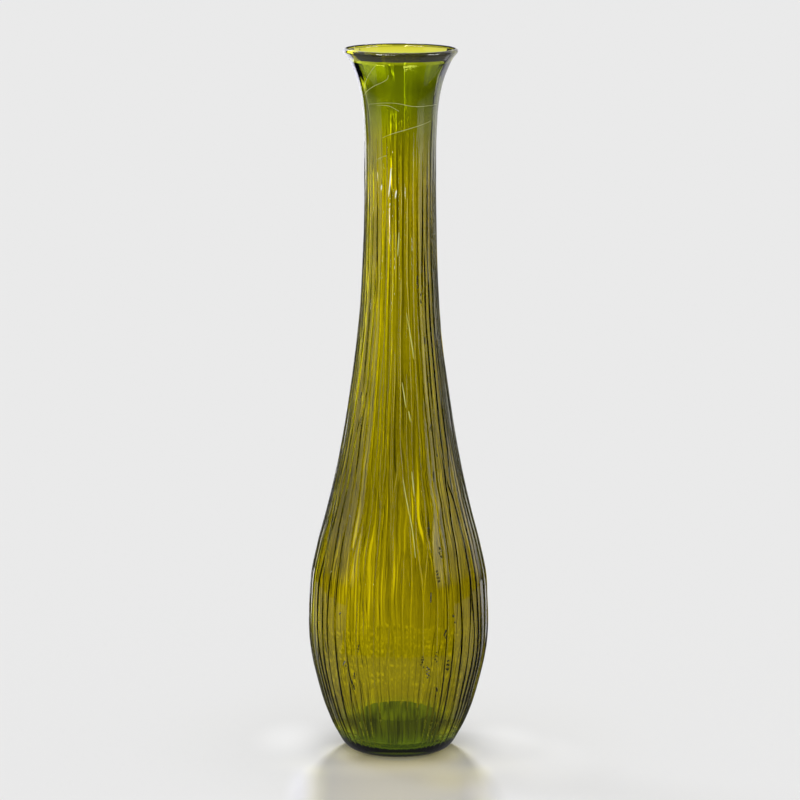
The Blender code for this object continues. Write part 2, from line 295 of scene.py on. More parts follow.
# Name, colour, middle and width in degrees, profile of (radius, height), who sees it, and for some the
# height over which they fade in from the lower edge
PANELS = (
    ("black_drapes", (0.010, 0.012, 0.018), 0, 360, ((0.35, 0.0005), (3.5, 0.0005), (3.5, 0.9)), MIRRORED),
    # Painted shade: a grey sheet seen only in reflections stands for the shaded floor near the foot
    ("near_floor", (0.15, 0.15, 0.15), 0, 360, ((0.05, 0.0005), (0.35, 0.0005)), MIRRORED),
    ("dark_ceiling", (0.012, 0.013, 0.018), 0, 360, ((3.5, 0.9), (3.5, 3.0), (1.0, 3.4)), MIRRORED + THROUGH),
    ("top_box", (1.6, 1.6, 1.6), 0, 360, ((1.0, 3.4), (0.01, 3.5)), MIRRORED),
    ("front_lamp", (16.0, 16.0, 16.0), -31, 42, LAMP_PROFILE, MIRRORED),
    ("side_lamp", (12.0, 12.0, 12.0), 71, 34, LAMP_PROFILE, MIRRORED),
    ("right_key", (1.8, 1.8, 1.8), 64, 24, ((1.15, 0.20), (1.15, 0.75)), MIRRORED, 0.28),
    ("right_soft", (0.60, 0.60, 0.63), 84, 64, BOX_PROFILE, MIRRORED, 0.30),
    ("right_back", (1.2, 1.2, 1.3), 133, 34, WALL_PROFILE, MIRRORED, 0.20),
    ("left_soft", (0.85, 0.85, 0.90), -94, 68, BOX_PROFILE, MIRRORED, 0.30),
    ("left_back", (2.2, 2.2, 2.6), -158, 30, WALL_PROFILE, MIRRORED, 0.12),
    ("left_floor", (2.0, 2.0, 2.3), -158, 30, FLOOR_CLOTH_PROFILE, MIRRORED),
    ("right_floor", (1.0, 1.0, 1.1), 152, 36, FLOOR_CLOTH_PROFILE, MIRRORED),
    ("backdrop", (0.85, 0.85, 0.85), 173, 54, WALL_PROFILE, MIRRORED),
    ("side_floor", (0.33, 0.33, 0.33), 180, 214, ((0.10, 0.001), (1.2, 0.001)), MIRRORED),
    ("back_floor", (0.80, 0.80, 0.80), 180, 54, ((0.20, 0.002), (1.2, 0.002)), MIRRORED),
    ("dash_b", (18.0, 18.0, 18.0), -34, 2.6, ((1.6, 0.352), (1.6, 0.378)), MIRRORED),
    ("left_card", BLACK_CARD, -88, 62, LOW_CARD_PROFILE, THROUGH),
    ("upper_left_card", BLACK_CARD, -98, 34, HIGH_CARD_PROFILE, THROUGH),
    ("right_card", BLACK_CARD, 97, 84, CARD_PROFILE, THROUGH),
    ("streak_d", (2.2, 2.2, 2.2), 179.2, 0.25, ((0.49, 0.570), (0.49, 0.632)), THROUGH),
    ("mouth_light", (1.0, 1.0, 1.0), 180, 17, ((0.485, 0.650), (0.485, 0.85)), THROUGH),
    # Painted light: glowing cards under the foot, in the punt and over the base's mound, seen through the
    # glass
    ("under_foot", (0.36, 0.42, 0.36), 0, 360, ((0.034, -0.0001), (0.070, -0.0001)), THROUGH),
    ("in_punt", (0.30, 0.45, 0.28), 0, 360, ((0.001, 0.0252), (0.010, 0.0233), (0.022, 0.0162)), THROUGH),
    ("in_punt_foot", (0.13, 0.18, 0.12), 0, 360, PUNT_EDGE_PROFILE, THROUGH),
    ("mound_top", (0.138, 0.190, 0.020), 0, 360, ((0.001, 0.0355), (0.036, 0.0355)), THROUGH),
    ("mound_side", (0.090, 0.124, 0.012), 0, 360, MOUND_SIDE_PROFILE, THROUGH),
    # Painted reflection: a dim lavender card just inside the lip darkens the near lip's band
    ("lip_collar", (0.045, 0.045, 0.30), 0, 360, ((0.0494, 0.6908), (0.0522, 0.6992)), THROUGH),
)

# Upright streaks in the painted light of the glowing cards over the base's mound, with the shares of light in
# dark and bright ones
STREAKED_CARDS = ("mound_top", "mound_side")
MOUND_STREAK_SIZE = 0.0065
MOUND_STREAK_STRETCH = 5.0
MOUND_STREAK_DEPTH = 14.0
MOUND_STREAK_STOPS = (0.38, 0.62)
MOUND_STREAK_SHARES = (0.50, 1.50)

# Painted shade: dark cards inside the flare, left and right of its middle, seen through its wall
CORNER_HEIGHTS = (0.678, 0.6908)
CORNER_ROWS = 3
CORNER_GAP = 0.0012
CORNER_TURN = math.radians(73)
CORNER_WIDTH = math.radians(46)
PAINTED_CORNER_SHADE_COLOUR = (0.03, 0.03, 0.10)

# The surround that is seen through the glass: an uneven brightness in upright streaks
SURROUND_LIFT = 0.0004
SURROUND_FOOT = 0.075
SURROUND_RADIUS = 0.50
SURROUND_TOP = 0.85
STREAK_SIZE = 0.020
STREAK_STRETCH = 8.0
# The tones of its streaks, and by height how calm it is: there one plain tone takes their place
STREAK_STOPS = ((0.34, 0.12), (0.44, 0.36), (0.51, 0.56), (0.57, 0.88), (0.65, 1.9))
CALM_STOPS = ((0.0, 0.70), (0.10, 0.0), (0.27, 0.10), (0.35, 0.76), (0.54, 0.82), (0.60, 0.88))
CALM_TONE = 0.60
# How bright it is by height: (height, tone on the left, in the middle, on the right), and where one tone
# gives way to the next
TONE_STOPS = (
    (0.04, 2.40, 1.15, 1.15), (0.08, 1.40, 0.87, 1.10), (0.14, 1.33, 0.79, 1.03), (0.20, 1.20, 0.68, 0.87),
    (0.27, 2.05, 0.75, 0.95), (0.32, 2.80, 0.79, 1.28), (0.38, 2.90, 0.45, 1.38), (0.44, 3.70, 0.28, 1.20),
    (0.49, 3.60, 0.30, 1.35), (0.53, 3.70, 0.48, 1.35), (0.565, 4.00, 0.92, 1.30), (0.605, 2.20, 1.18, 1.00),
    (0.625, 1.10, 1.00, 0.60), (0.642, 0.10, 0.95, 0.05),
)
TONE_NEAR, TONE_FAR = 0.022, 0.042
# The left tone's share close to the middle, far out and far out high up, and where it changes
NEAR_SHARE, WIDE_SHARE = 0.60, 1.90
HIGH_WIDE_SHARE = 0.12
WIDE_FROM, WIDE_TO = 0.22, 0.36
HIGH_FROM, HIGH_TO = 0.505, 0.562
# Painted shade on the ring's flat part close to the vase's foot: how much light is left there
FOOT_SHADE_FROM, FOOT_SHADE_TO = 0.085, 0.190
FOOT_SHADE = 0.22
# A bright broken line in it: its side place and half width, its sway, its heights and its strength
LINE_PLACE = -0.0120
LINE_HALF_WIDTH = 0.0034
LINE_SWAY = 0.0130
LINE_SWAY_SIZE = 0.030
LINE_BREAK_SIZE = 0.011
LINE_BREAK_STRETCH = 2.5
LINE_BREAK_STOPS = (0.36, 0.48)
LINE_BREAK_TONE = 0.10
LINE_FROM, LINE_TO = 0.500, 0.600
LINE_END = 0.015
LINE_TONE = 4.2


def mix(a, b, share):
    """The value that lies a share of the way from a to b."""
    return a + (b - a) * share


def ease(value):
    """0 below 0, 1 above 1, and a smooth rise between them."""
    value = np.clip(value, 0.0, 1.0)
    return value * value * (3.0 - 2.0 * value)


def closing(value):
    """0 below 0, 1 above 1, and nearly straight between them, so that two ribs meet in a point."""
    return np.clip(value, 0.0, 1.0) ** FORK_POWER


def scatter(index, turn):
    """Shares from 0 to 1 that jump about from one index to the next, the same on every run."""
    return ((index + 1) * GOLDEN_SHARE * turn) % 1.0


def stretch_points(low, high, shares):
    """Height and radius of the points between two named ones, from their shares."""
    return [(mix(low[0], high[0], h), mix(low[1], high[1], r)) for h, r in shares]


def outline_points():
    """The outline over the rib crests, as (height, radius) from the heel up to the lip's bead."""
    heel = (HEEL_RISE, HEEL_RADIUS)
    belly = (BELLY_HEIGHT, BELLY_RADIUS)
    neck = (NECK_HEIGHT, NECK_RADIUS)
    lip = (BEAD_HEIGHT, LIP_RADIUS - LIP_BEAD_RADIUS / 2)
    return [
        heel, *stretch_points(heel, belly, HEEL_TO_BELLY_SHARES),
        belly, *stretch_points(belly, neck, BELLY_TO_NECK_SHARES),
        neck, *stretch_points(neck, lip, NECK_TO_LIP_SHARES), lip,
    ]


OUTLINE = np.array(outline_points())


def outline_slopes():
    """The outline's slope at its points: none where it turns, the mean of both sides elsewhere."""
    steps = np.diff(OUTLINE[:, 1]) / np.diff(OUTLINE[:, 0])
    below, above = steps[:-1], steps[1:]
    turns = below * above <= 0
    middle = np.where(turns, 0.0, 2 * below * above / np.where(turns, 1.0, below + above))
    return np.concatenate([middle[:1], middle, middle[-1:]])


SLOPES = outline_slopes()


def crest_radius(height):
    """The outside radius over the rib crests, on one smooth curve through the outline's points."""
    height = np.clip(height, OUTLINE[0, 0], OUTLINE[-1, 0])
    index = np.clip(np.searchsorted(OUTLINE[:, 0], height, side="right") - 1, 0, len(OUTLINE) - 2)
    h0, r0 = OUTLINE[index].T
    h1, r1 = OUTLINE[index + 1].T
    span = h1 - h0
    t = (height - h0) / span
    return (
        (2 * t**3 - 3 * t**2 + 1) * r0 + (t**3 - 2 * t**2 + t) * span * SLOPES[index]
        + (3 * t**2 - 2 * t**3) * r1 + (t**3 - t**2) * span * SLOPES[index + 1]
    )


def rib_height(height):
    """How far the ribs stand out: nothing at the heel's foot and nothing in the plain mouth."""
    return RIB_HEIGHT * ease((height - HEEL_RISE) / HEEL_FADE) * ease((RIB_TOP - height) / FADE_LENGTH)


def wall(height):
    """The wall's thickness measured level: the glass leans in the mouth, so a level cut is longer there."""
    slope = (crest_radius(height + SLOPE_REACH) - crest_radius(height - SLOPE_REACH)) / (2 * SLOPE_REACH)
    return np.interp(height, WALL_HEIGHTS, WALLS) * np.sqrt(1 + slope**2)


def wave(height, index, length, turn):
    """A slow wave up the vase, from -1 to 1, with another start for each index."""
    return np.sin(2 * np.pi * (height / length + scatter(index, turn)))


def waves(height, index, parts):
    """The sum of several slow waves."""
    return sum(share * wave(height, index, length, turn) for share, length, turn in parts)


def gap_shares(height):
    """How wide the gap after each rib is, for rows of heights: a column for each rib, 1 for an even gap."""
    index = np.arange(RIB_COUNT)[None, :]
    height = height[:, None]
    own = waves(height, index, SWAY_WAVES)
    sway = 1 + np.roll(own, -1, axis=1) - own
    # Every second gap closes upwards, one in six opens upwards, and one in six is shut for a stretch
    fork = NECK_HEIGHT - FORKS_FROM_NECK - FORKS_SPREAD * scatter(index // 2, 1)
    closes = np.where(index % 2 == 1, closing((height - fork) / FORK_LENGTH), 0.0)
    joint = mix(BELLY_HEIGHT, BELLY_HEIGHT + JOINTS_SPREAD, scatter(index // 6, 1))
    opens = np.where(index % 6 == 2, 1 - closing((height - joint) / FORK_LENGTH), 0.0)
    low_joint = mix(HEEL_RISE + LOW_JOINTS_FROM_HEEL, BELLY_HEIGHT, scatter(index // 6 + 5, 1))
    crosses = np.where(index % 6 == 4, closing((height - low_joint) / FORK_LENGTH), 0.0)
    crosses = crosses * (1 - closing((height - low_joint - CROSSING_LENGTH) / FORK_LENGTH))
    shut = np.maximum(np.maximum(closes, opens), crosses)
    lost = sway * (1 - CLOSED_GAP_SHARE) * shut
    open_share = 1 - shut
    room = np.roll(open_share, 1, axis=1) + np.roll(open_share, -1, axis=1) + LEAST_ROOM_SHARE
    given = lost / room
    return sway - lost + open_share * (np.roll(given, 1, axis=1) + np.roll(given, -1, axis=1))


def rib_strengths(height):
    """How strongly each rib stands out at each height, from nearly nothing to 1."""
    index = np.arange(RIB_COUNT)[None, :]
    height = height[:, None]
    return mix(WEAKEST_RIB_SHARE, 1.0, ease(1.0 + STRENGTH_SWING * waves(height, index, STRENGTH_WAVES)))


def rib_grid(heights):
    """Angle, ridge distance and rib strength of each column of points, for rows of heights.

    Each gap between two ridges has seven columns: on the ridge, on its shoulder, at its foot and just
    past it, and at the same places of the next ridge. The pair past the feet keeps the gap flat.
    """
    radius = crest_radius(heights)[:, None]
    gaps = gap_shares(heights)
    gaps = gaps * 2 * np.pi / gaps.sum(axis=1, keepdims=True)
    starts = np.concatenate([np.zeros((len(heights), 1)), np.cumsum(gaps, axis=1)[:, :-1]], axis=1)
    starts = starts - starts.mean(axis=1, keepdims=True) + np.pi
    width = gaps * radius
    room = np.minimum(1.0, width / (WHOLE_GAP * RIB_HALF_WIDTH))
    shoulder, foot, past = (share * RIB_HALF_WIDTH * room for share in COLUMN_PLACES)
    along = np.stack([0 * width, shoulder, foot, past, width - past, width - foot, width - shoulder], axis=2)
    distance = np.minimum(along, width[:, :, None] - along)
    own = rib_strengths(heights)
    following = np.roll(own, -1, axis=1)
    share = along / width[:, :, None]
    strength = mix(own[:, :, None], following[:, :, None], ease(share * 2 - 0.5))
    angle = starts[:, :, None] + along / radius[:, :, None]
    shape = (len(heights), RIB_COUNT * RIB_COLUMNS)
    return angle.reshape(shape), distance.reshape(shape), strength.reshape(shape)


def bezier(start, middle, end, share):
    """Points on the curve from start to end that leaves and arrives along lines to middle."""
    return tuple(mix(mix(a, b, share), mix(b, c, share), share) for a, b, c in zip(start, middle, end))


def punt_height(radius):
    """The underside of the foot: flat on its ring, and a rounded rise inside it."""
    share = np.minimum(radius / PUNT_RADIUS, 1.0)
    return PUNT_RISE * (1 - share**2)


def heel_profile():
    """The rounded heel as (radius, height), from the lowest ribs down to the foot's ring."""
    corner = (mix(FOOT_RADIUS, HEEL_RADIUS, HEEL_CORNER_SHARE), 0.0)
    share = np.arange(1, HEEL_ROWS + 1) / HEEL_ROWS
    return np.stack(bezier((HEEL_RADIUS, HEEL_RISE), corner, (FOOT_RADIUS, 0.0), share), axis=1)


def mouth_profile():
    """The plain mouth and the lip's bead as (radius, height), up the outside and over to the inside."""
    heights = np.linspace(RIB_TOP, BEAD_HEIGHT - LIP_TURN, MOUTH_ROWS + 1)[1:-1]
    ring = MOUTH_RING_STEP * ease((heights - MOUTH_RING_HEIGHT) / MOUTH_RING_WIDTH + 0.5)
    outside = np.stack([crest_radius(heights) + ring, heights], axis=1)
    turn = np.linspace(LIP_START, np.pi, LIP_ROWS + 1)
    centre = LIP_RADIUS - LIP_BEAD_RADIUS
    inner_reach = centre - (crest_radius(BEAD_HEIGHT) - wall(BEAD_HEIGHT))
    reach = np.where(np.cos(turn) > 0, LIP_BEAD_RADIUS, inner_reach)
    bead = np.stack([centre + reach * np.cos(turn), BEAD_HEIGHT + LIP_BEAD_RADIUS * np.sin(turn)], axis=1)
    return np.concatenate([outside, bead])


def inside_profile():
    """The inside as (radius, height), down the wall, round the floor's corner and up over the punt."""
    rim = np.linspace(BEAD_HEIGHT, INSIDE_RIM_FOOT, INSIDE_RIM_ROWS + 1)[1:]
    heights = np.concatenate([rim, np.linspace(INSIDE_RIM_FOOT, FLOOR_TOP, INSIDE_ROWS + 1)[1:]])
    radii = crest_radius(heights) - rib_height(heights) - wall(heights)
    corner = (radii[-1] - FLOOR_CORNER_REACH, BASE_THICKNESS)
    share = np.arange(1, FLOOR_CORNER_ROWS + 1) / FLOOR_CORNER_ROWS
    bend = np.stack(bezier((radii[-1], heights[-1]), corner, (PLATEAU_RADIUS, BASE_THICKNESS), share), axis=1)
    floor = PLATEAU_RADIUS * np.sqrt(np.linspace(1.0, 0.0, FLOOR_ROWS + 1))[1:-1]
    plateau = mix(FLOOR_TOP, BASE_THICKNESS, (floor / PLATEAU_RADIUS) ** PLATEAU_POWER)
    over = np.stack([floor, plateau], axis=1)
    return np.concatenate([np.stack([radii, heights], axis=1), bend, over])


def underside_profile():
    """The underside as (radius, height), from the inner edge of the foot's ring in to the punt's top."""
    radii = np.linspace(PUNT_RADIUS, 0.0, FLOOR_ROWS + 1)[:-1]
    return np.stack([radii, punt_height(radii)], axis=1)


def closed_mesh(name, points, faces):
    """A closed mesh with all its faces turned outwards."""
    mesh = bpy.data.meshes.new(name)
    mesh.from_pydata(points, [], faces)
    turned = bmesh.new()
    turned.from_mesh(mesh)
    bmesh.ops.recalc_face_normals(turned, faces=turned.faces)
    turned.to_mesh(mesh)
    turned.free()
    return mesh


def in_scene(name, data):
    """An object at the origin that shows a mesh, or is a lamp or a camera."""
    thing = bpy.data.objects.new(name, data)
    bpy.context.scene.collection.objects.link(thing)
    return thing


class Skin:
    """Collects rings of points and the faces between them."""

    def __init__(self):
        self.points, self.ridge, self.strength, self.inside, self.faces = [], [], [], [], []

    def ring(self, angle, radius, height, ridge=1.0, strength=0.0, inside=0.0):
        """Adds a ring and gives the numbers of its points."""
        first, count = len(self.points), len(angle)
        radius = np.broadcast_to(radius, (count,))
        for a, r in zip(angle, radius):
            self.points.append((r * math.cos(a), r * math.sin(a), height))
        self.ridge.extend(np.broadcast_to(ridge, (count,)))
        self.strength.extend(np.broadcast_to(strength, (count,)))
        self.inside.extend([inside] * count)
        return list(range(first, first + count))

    def join(self, wide, narrow):
        """Faces between two rings, of which the second has as many points or an even share of them."""
        ratio = len(wide) // len(narrow)
        for i, point in enumerate(narrow):
            following = narrow[(i + 1) % len(narrow)]
            run = [wide[(ratio * i + step) % len(wide)] for step in range(ratio + 1)]
            if ratio == 1:
                self.faces.append((run[0], run[1], following, point))
                continue
            turn_over = (ratio + 1) // 2
            for step in range(ratio):
                self.faces.append((run[step], run[step + 1], point if step < turn_over else following))
            self.faces.append((run[turn_over], following, point))

    def fan(self, ring, height, inside=0.0):
        """Closes a ring with a point on the axis."""
        tip = self.ring([0.0], 0.0, height, inside=inside)[0]
        for i, point in enumerate(ring):
            self.faces.append((point, ring[(i + 1) % len(ring)], tip))


def wall_mesh():
    """The turned wall as one closed mesh, with what the rib tree needs in its attributes."""
    skin = Skin()
    heights = np.linspace(HEEL_RISE, RIB_TOP, RIBBED_ROWS + 1)
    angles, ridge, strength = rib_grid(heights)
    radii = crest_radius(heights) - rib_height(heights)
    strength = strength * (rib_height(heights) / RIB_HEIGHT)[:, None]
    upward = [
        skin.ring(angles[row], radii[row], heights[row], ridge[row], strength[row])
        for row in range(len(heights))
    ]
    mouth_angles = angles[-1][::PLAIN_COLUMN_STEP]
    upward += [skin.ring(mouth_angles, radius, height) for radius, height in mouth_profile()]
    upward += [skin.ring(mouth_angles, radius, height, inside=1.0) for radius, height in inside_profile()]
    foot_angles = angles[0][::PLAIN_COLUMN_STEP]
    underside = [*heel_profile(), *underside_profile()]
    downward = [upward[0], *(skin.ring(foot_angles, radius, height) for radius, height in underside)]
    for rings, tip, inside in ((upward, FLOOR_TOP, 1.0), (downward, PUNT_RISE, 0.0)):
        for first, second in zip(rings, rings[1:]):
            skin.join(first, second)
        skin.fan(rings[-1], tip, inside)
    mesh = closed_mesh("vase_wall", skin.points, skin.faces)
    for name, values in (("ridge", skin.ridge), ("strength", skin.strength), ("inside", skin.inside)):
        mesh.attributes.new(name, "FLOAT", "POINT").data.foreach_set("value", np.array(values, np.float32))
    mesh.shade_smooth()
    return mesh


def thread_path(points, raised):
    """Places along a thread on the wall's outside, raised a share of the ribs' height over their feet."""
    angles = np.radians([angle for angle, height in points])
    heights = np.array([height for angle, height in points])
    at = np.arange(len(points))
    fine = np.linspace(0, len(points) - 1, (len(points) - 1) * THREAD_STEPS + 1)
    width = THREAD_STEPS // 2
    kernel = np.ones(2 * width + 1) / (2 * width + 1)
    smooth = []
    for values in (angles, heights):
        along = np.interp(fine, at, values)
        padded = np.pad(along, width, mode="reflect", reflect_type="odd")
        smooth.append(np.convolve(padded, kernel, mode="valid"))
    angle, height = smooth
    radius = crest_radius(height) - rib_height(height) * (1 - raised)
    return np.stack([radius * np.sin(angle), -radius * np.cos(angle), height], axis=1)


def thread_mesh(name, threads, thickness, raised=0.0):
    """Threads as thin closed tubes, half sunk in the wall and thinner at their tips."""
    points, faces = [], []
    for thread in threads:
        path = thread_path(thread, raised)
        forward = np.gradient(path, axis=0)
        forward /= np.linalg.norm(forward, axis=1, keepdims=True)
        outward = path * (1.0, 1.0, 0.0)
        outward /= np.linalg.norm(outward, axis=1, keepdims=True)
        aside = np.cross(forward, outward)
        aside /= np.linalg.norm(aside, axis=1, keepdims=True)
        outward = np.cross(aside, forward)
        size = thickness * mix(THREAD_TIP_SHARE, 1.0, np.sin(np.linspace(0, np.pi, len(path))))
        first = len(points)
        for k in range(THREAD_SIDES):
            turn = 2 * math.pi * k / THREAD_SIDES
            ring = path + size[:, None] * (math.cos(turn) * outward + math.sin(turn) * aside)
            points.extend(map(tuple, ring))
        count = len(path)
        for k in range(THREAD_SIDES):
            a, b = first + k * count, first + (k + 1) % THREAD_SIDES * count
            faces.extend((a + i, a + i + 1, b + i + 1, b + i) for i in range(count - 1))
        faces.append([first + k * count for k in range(THREAD_SIDES)])
        faces.append([first + k * count + count - 1 for k in range(THREAD_SIDES)])
    mesh = closed_mesh(name, points, faces)
    mesh.shade_smooth()
    return mesh


def fleck_mesh(name):
    """Flecks as small closed lozenges that stand a little out of the wall."""
    points, faces = [], []
    for row, (degrees, middle, count) in enumerate(FLECK_ROWS):
        for k in range(count):
            turn = math.radians(degrees) + FLECK_ROW_WIDTH * (scatter(k, row + 3) - 0.5)
            height = middle + FLECK_ROW_LENGTH * (scatter(k, row + 8) - 0.5)
            half = mix(*FLECK_LENGTHS, scatter(k, row + 13))
            radius = float(crest_radius(height) - rib_height(height))
            outward = np.array((math.sin(turn), -math.cos(turn), 0.0))
            aside = np.array((math.cos(turn), math.sin(turn), 0.0)) * FLECK_WIDTH / 2
            upward = np.array((0.0, 0.0, half))
            centre = radius * outward + (0.0, 0.0, height)
            depth = outward * FLECK_DEPTH
            first = len(points)
            points.extend(map(tuple, (centre + upward, centre - upward)))
            points.extend(map(tuple, (centre + depth, centre + aside, centre - depth, centre - aside)))
            for side in range(4):
                a, b = first + 2 + side, first + 2 + (side + 1) % 4
                faces.extend(((first, a, b), (first + 1, b, a)))
    return closed_mesh(name, points, faces)


class Tree:
    """A node tree with short calls to add and link nodes."""

    def __init__(self, tree):
        self.tree = tree

    def node(self, kind, settings=(), **values):
        """Adds a node: settings are its own properties, values its unlinked inputs or links by name."""
        node = self.tree.nodes.new(kind)
        for name, value in dict(settings).items():
            setattr(node, name, value)
        for name, value in values.items():
            self.put(node.inputs[name.replace("_", " ")], value)
        return node

    def put(self, socket, value):
        """Links a socket to another one, or sets its value."""
        if isinstance(value, bpy.types.NodeSocket):
            self.tree.links.new(value, socket)
        else:
            socket.default_value = value

    def math(self, operation, *values, clamp=False):
        """A Math node's result."""
        node = self.node("ShaderNodeMath", {"operation": operation, "use_clamp": clamp})
        for socket, value in zip(node.inputs, values):
            self.put(socket, value)
        return node.outputs[0]

    def vector(self, operation, *values):
        """A Vector Math node's result: a number for a length and a vector otherwise."""
        node = self.node("ShaderNodeVectorMath", {"operation": operation})
        for socket, value in zip([s for s in node.inputs if s.type == "VECTOR"], values):
            self.put(socket, value)
        return node.outputs["Value" if operation == "LENGTH" else "Vector"]

    def place(self):
        """Where a point lies on its object."""
        return self.node("ShaderNodeTexCoord").outputs["Object"]

    def axes(self, place):
        """A place's three numbers, by the names of their axes."""
        return self.node("ShaderNodeSeparateXYZ", Vector=place).outputs

    def span(self, value, ends, results=(0.0, 1.0), kind="LINEAR"):
        """Results that go from the first to the second as a value goes from end to end."""
        return self.node(
            "ShaderNodeMapRange", {"interpolation_type": kind}, Value=value, From_Min=ends[0],
            From_Max=ends[1], To_Min=results[0], To_Max=results[1],
        ).outputs[0]

    def smooth_share(self, value, none_at, whole_at):
        """A smooth share of a value: 0 at one end and 1 at the other."""
        return self.span(value, (none_at, whole_at), kind="SMOOTHSTEP")

    def noise(self, place, size, detail):
        """Soft noise in patches of one size."""
        return self.node("ShaderNodeTexNoise", Vector=place, Scale=1.0 / size, Detail=detail).outputs[0]

    def colours(self, share, stops):
        """A colour that follows a share through stops of (position, colour)."""
        node = self.node("ShaderNodeValToRGB", Fac=share)
        elements = node.color_ramp.elements
        while len(elements) < len(stops):
            elements.new(1.0)
        for element, (position, colour) in zip(elements, stops):
            element.position, element.color = position, (*colour, 1)
        return node.outputs["Color"]

    def blend(self, share, first, second):
        """The first surface, which gives way to the second by a share."""
        node = self.node("ShaderNodeMixShader", Fac=share)
        self.put(node.inputs[1], first)
        self.put(node.inputs[2], second)
        return node.outputs[0]

    def lit(self, surface, colour, amount):
        """A surface with some light of its own added."""
        light = self.node("ShaderNodeEmission", Color=(*colour, 1), Strength=amount)
        both = self.node("ShaderNodeAddShader")
        self.put(both.inputs[0], surface)
        self.put(both.inputs[1], light.outputs[0])
        return both.outputs[0]


def finish(name):
    """A new material and its empty tree. Light of its own shows, but isn't sampled as a lamp."""
    material = bpy.data.materials.new(name)
    material.use_nodes = True
    material.node_tree.nodes.clear()
    material.cycles.emission_sampling = "NONE"
    return material, Tree(material.node_tree)


def rib_tree(material):
    """Geometry nodes that raise the ribs on the turned wall and ripple its inside."""
    group = bpy.data.node_groups.new("moulded_ribs", "GeometryNodeTree")
    face = group.interface
    face.new_socket("Wall", in_out="INPUT", socket_type="NodeSocketGeometry")
    for name in ("Rib height", "Rib half width", "Inside ripple", "Outside ripple", "Ripple size"):
        face.new_socket(name, in_out="INPUT", socket_type="NodeSocketFloat").subtype = "DISTANCE"
    face.new_socket("Ripple stretch", in_out="INPUT", socket_type="NodeSocketFloat")
    face.new_socket("Seed", in_out="INPUT", socket_type="NodeSocketInt")
    face.new_socket("Glass", in_out="OUTPUT", socket_type="NodeSocketGeometry")
    nodes = Tree(group)
    source = nodes.node("NodeGroupInput").outputs

    def attribute(name):
        """A value that the wall's mesh holds for each point."""
        return nodes.node("GeometryNodeInputNamedAttribute", {"data_type": "FLOAT"}, Name=name).outputs[0]

    position = nodes.node("GeometryNodeInputPosition").outputs[0]
    outward = nodes.vector("NORMALIZE", nodes.vector("MULTIPLY", position, (1.0, 1.0, 0.0)))

    share = nodes.math("DIVIDE", attribute("ridge"), source["Rib half width"], clamp=True)
    crest = nodes.math("SQRT", nodes.math("SUBTRACT", 1.0, nodes.math("MULTIPLY", share, share)))
    rise = nodes.math("MULTIPLY", nodes.math("MULTIPLY", crest, attribute("strength")), source["Rib height"])

    scale = nodes.math("DIVIDE", 1.0, source["Ripple size"])
    shrink = nodes.math("DIVIDE", 1.0, source["Ripple stretch"])
    upright = nodes.node("ShaderNodeCombineXYZ", X=1.0, Y=1.0, Z=shrink).outputs[0]
    drawn_out = nodes.vector("MULTIPLY", position, upright)
    noise = nodes.node(
        "ShaderNodeTexNoise", {"noise_dimensions": "4D"},
        Vector=drawn_out, W=source["Seed"], Scale=scale, Detail=1.5,
    ).outputs[0]
    swing = nodes.math("MULTIPLY_ADD", noise, 2.0, -1.0)
    within = attribute("inside")
    without = nodes.math("SUBTRACT", 1.0, within)
    size = nodes.math("MULTIPLY", source["Inside ripple"], within)
    size = nodes.math("MULTIPLY_ADD", source["Outside ripple"], without, size)
    ripple = nodes.math("MULTIPLY", swing, size)

    amount = nodes.math("ADD", rise, ripple)
    push = nodes.node("ShaderNodeVectorMath", {"operation": "SCALE"}, Vector=outward, Scale=amount)
    moved = nodes.node("GeometryNodeSetPosition", Geometry=source["Wall"], Offset=push.outputs[0])
    real = nodes.node("GeometryNodeRealizeInstances", Geometry=moved.outputs[0])
    finished = nodes.node("GeometryNodeSetMaterial", Geometry=real.outputs[0], Material=material)
    sink = nodes.node("NodeGroupOutput")
    nodes.put(sink.inputs["Glass"], finished.outputs[0])
    return group


def grown(name, mesh, group, **values):
    """A plain mesh object: what a node group, with its inputs set, makes of a mesh."""
    piece = in_scene(name, mesh)
    modifier = piece.modifiers.new(group.name, "NODES")
    modifier.node_group = group
    sockets = {item.name: item.identifier for item in group.interface.items_tree}
    for label, value in values.items():
        modifier[sockets[label.replace("_", " ")]] = value
    bpy.context.view_layer.update()
    evaluated = piece.evaluated_get(bpy.context.evaluated_depsgraph_get())
    plain = bpy.data.meshes.new_from_object(evaluated)
    piece.modifiers.remove(modifier)
    piece.data = plain
    plain.name = name
    return piece


def olive_glass():
    """Olive bottle glass: clear, warm in the body, greener in the thick mouth and foot."""
    material, nodes = finish("olive_glass")
    share = nodes.math("DIVIDE", nodes.axes(nodes.place())["Z"], HEIGHT, clamp=True)
    glass = nodes.node(
        "ShaderNodeBsdfPrincipled", Base_Color=nodes.colours(share, HUE_STOPS), Roughness=GLASS_ROUGHNESS,
        IOR=GLASS_IOR, Transmission_Weight=1.0,
    )
    clear = nodes.node("ShaderNodeBsdfTransparent", Color=SHADOW_TINT)
    shadow = nodes.node("ShaderNodeLightPath").outputs["Is Shadow Ray"]
    surface = nodes.blend(shadow, glass.outputs[0], clear.outputs[0])
    volume = nodes.node("ShaderNodeVolumeAbsorption", Color=ABSORPTION_COLOUR, Density=ABSORPTION_DENSITY)
    nodes.node("ShaderNodeOutputMaterial", Surface=surface, Volume=volume.outputs[0])
    return material


